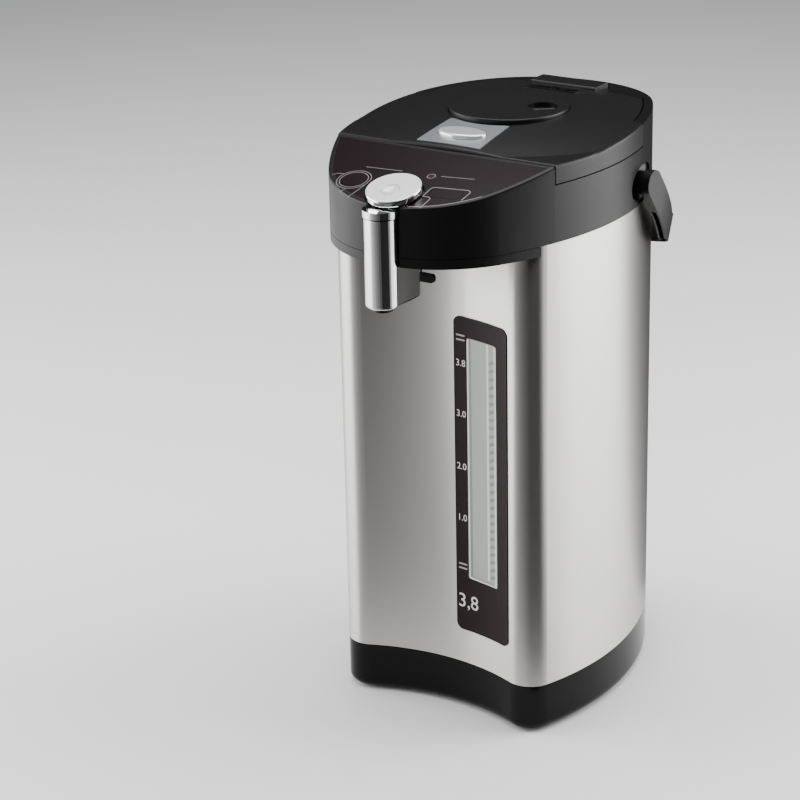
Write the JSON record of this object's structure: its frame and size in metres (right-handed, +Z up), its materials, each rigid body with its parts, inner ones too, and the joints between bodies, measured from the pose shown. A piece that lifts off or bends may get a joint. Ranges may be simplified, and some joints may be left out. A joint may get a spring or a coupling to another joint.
{
  "type": "electric thermo pot",
  "caption": "Tall insulated electric hot-water pot with a brushed steel wrap, a hollow front with a level gauge, a nose with a chrome spout, a domed lid and a carrying bow.",
  "frame": {"origin": "middle of the outline in plan, on the surface the pot stands on", "axes": "+Z up; -Y is the front with the spout; +X is the side of the level gauge, the pot's left hand as it faces forward"},
  "size_m": [0.1844, 0.2894, 0.3863],
  "materials": {
    "gloss_black": "glossy moulded black plastic",
    "satin_black": "satin moulded black plastic",
    "charcoal": "satin dark grey plastic",
    "inner_black": "plain black plastic inside the covers",
    "foot_rubber": "matt rubber",
    "screw_steel": "plain steel",
    "contact_brass": "bright contact pins",
    "circuit_board": "green circuit board with its components",
    "steel_wrap": "fine brushed stainless steel, brushed along the height",
    "gauge_print": "dark purple-brown printed film",
    "gauge_glass": "clear pale plastic window",
    "tube_glass": "clear riser tube",
    "pot_steel": "polished stainless steel vessel",
    "wool": "pale insulation wrap",
    "heater_metal": "cast aluminium heater",
    "ceramic": "thermostat bodies",
    "motor_metal": "zinc-plated motor can",
    "magnet": "bare magnet and shaft",
    "pump_plastic": "white heat-proof plastic",
    "silicone": "translucent silicone rubber",
    "panel_film": "dark purple-brown panel film",
    "lamp_lens": "small coloured lamp lens",
    "spout_chrome": "bright chrome",
    "button_silver": "bright satin metal face with a polished edge",
    "plate_silver": "silver-grey satin",
    "knob_black": "satin black"
  },
  "bodies": {
    "pot": {"base_shell": "gloss_black", "base_plate": "inner_black", "rubber_feet": "foot_rubber", "base_screws": "screw_steel", "power_inlet": "inner_black", "inlet_pins": "contact_brass", "power_board": "circuit_board", "outer_body": "steel_wrap", "gauge_plate": "gauge_print", "gauge_window": "gauge_glass", "gauge_tube": "tube_glass", "inner_pot": "pot_steel", "insulation_sleeve": "wool", "heater_plate": "heater_metal", "thermostats": "ceramic", "pot_collar": "inner_black", "pump_motor": "motor_metal", "pump_housing": "pump_plastic", "drain_hose": "silicone", "pump_hose": "silicone", "outlet_hose": "silicone", "front_head": "satin_black", "shoulder_ring": "satin_black", "control_panel": "panel_film", "indicator_lens": "lamp_lens", "control_board": "circuit_board", "tact_switches": "inner_black", "nose_cover": "satin_black", "rear_head": "satin_black", "hinge_pin": "screw_steel", "spout_cover": "spout_chrome", "spout_core": "inner_black", "spout_nozzle": "inner_black", "spout_collar": "spout_chrome", "button_pan": "inner_black", "dispense_spring": "screw_steel", "lever_pin": "screw_steel", "pivot_sockets": "knob_black"},
    "lid": {"lid_outer": "charcoal", "disc_guide": "charcoal", "lid_inner": "charcoal", "lid_screws": "screw_steel", "lid_gasket": "silicone", "latch_plate": "plate_silver", "latch_springs": "screw_steel", "steam_vent": "knob_black", "bellows": "silicone"},
    "pump_disc": {"pump_disc": "charcoal"},
    "lock_knob": {"lock_knob": "knob_black"},
    "latch_button": {"latch_button": "spout_chrome"},
    "latch_bolt": {"latch_bolt": "inner_black"},
    "dispense_button": {"dispense_button": "button_silver"},
    "cup_lever": {"cup_lever": "inner_black"},
    "left_button": {"left_button": "panel_film"},
    "right_button": {"right_button": "panel_film"},
    "motor_rotor": {"motor_rotor": "magnet"},
    "pump_impeller": {"pump_impeller": "pump_plastic"},
    "carry_handle": {"carry_handle": "charcoal"}
  },
  "joints": [
    {"name": "lid_hinge", "type": "hinge", "parent": "pot", "child": "lid", "pos_m": [0, 0.09771, 0.3789], "axis": [-1, 0, 0], "range_deg": [0, 90]},
    {"name": "handle_swing", "type": "hinge", "parent": "pot", "child": "carry_handle", "pos_m": [0, 0.0396, 0.341], "axis": [1, 0, 0], "range_deg": [0, 125]},
    {"name": "pump_press", "type": "slide", "parent": "lid", "child": "pump_disc", "axis": [0, 0, -1], "range_m": [0, 0.012], "stiffness_N_per_m": 400, "springref_m": -0.004, "deforming": ["bellows"]},
    {"name": "knob_turn", "type": "hinge", "parent": "pump_disc", "child": "lock_knob", "pos_m": [0.021, 0.0226, 0.38], "axis": [0, 0, 1], "range_deg": [0, 60]},
    {"name": "latch_press", "type": "slide", "parent": "lid", "child": "latch_button", "axis": [0, 0, -1], "range_m": [0, 0.002], "stiffness_N_per_m": 700, "springref_m": -0.002, "deforming": ["latch_springs"]},
    {"name": "bolt_slide", "type": "slide", "parent": "lid", "child": "latch_bolt", "axis": [0, 1, 0], "range_m": [0, 0.004]},
    {"name": "dispense_press", "type": "slide", "parent": "pot", "child": "dispense_button", "axis": [0, 0.2588, -0.9659], "range_m": [0, 0.003], "stiffness_N_per_m": 500, "springref_m": -0.004, "deforming": ["dispense_spring"]},
    {"name": "cup_lever_turn", "type": "hinge", "parent": "pot", "child": "cup_lever", "pos_m": [0, -0.09233, 0.327], "axis": [1, 0, 0], "range_deg": [0, 10], "stiffness_Nm_per_rad": 0.03, "springref_deg": -8.59},
    {"name": "left_button_press", "type": "slide", "parent": "pot", "child": "left_button", "axis": [0, 0.2334, -0.9724], "range_m": [0, 0.0006], "stiffness_N_per_m": 900, "springref_m": -0.0005},
    {"name": "right_button_press", "type": "slide", "parent": "pot", "child": "right_button", "axis": [0, 0.2334, -0.9724], "range_m": [0, 0.0006], "stiffness_N_per_m": 900, "springref_m": -0.0005},
    {"name": "motor_spin", "type": "hinge", "parent": "pot", "child": "motor_rotor", "pos_m": [0.0303, -0.0114, 0.022], "axis": [0, 0, 1], "continuous": true},
    {"name": "impeller_spin", "type": "hinge", "parent": "pot", "child": "pump_impeller", "pos_m": [0.0303, -0.0114, 0.034], "axis": [0, 0, 1], "continuous": true}
  ],
  "couplings": [
    {"joint": "bolt_slide", "follows": "latch_press", "ratio": 2},
    {"joint": "impeller_spin", "follows": "motor_spin", "ratio": 1}
  ]
}
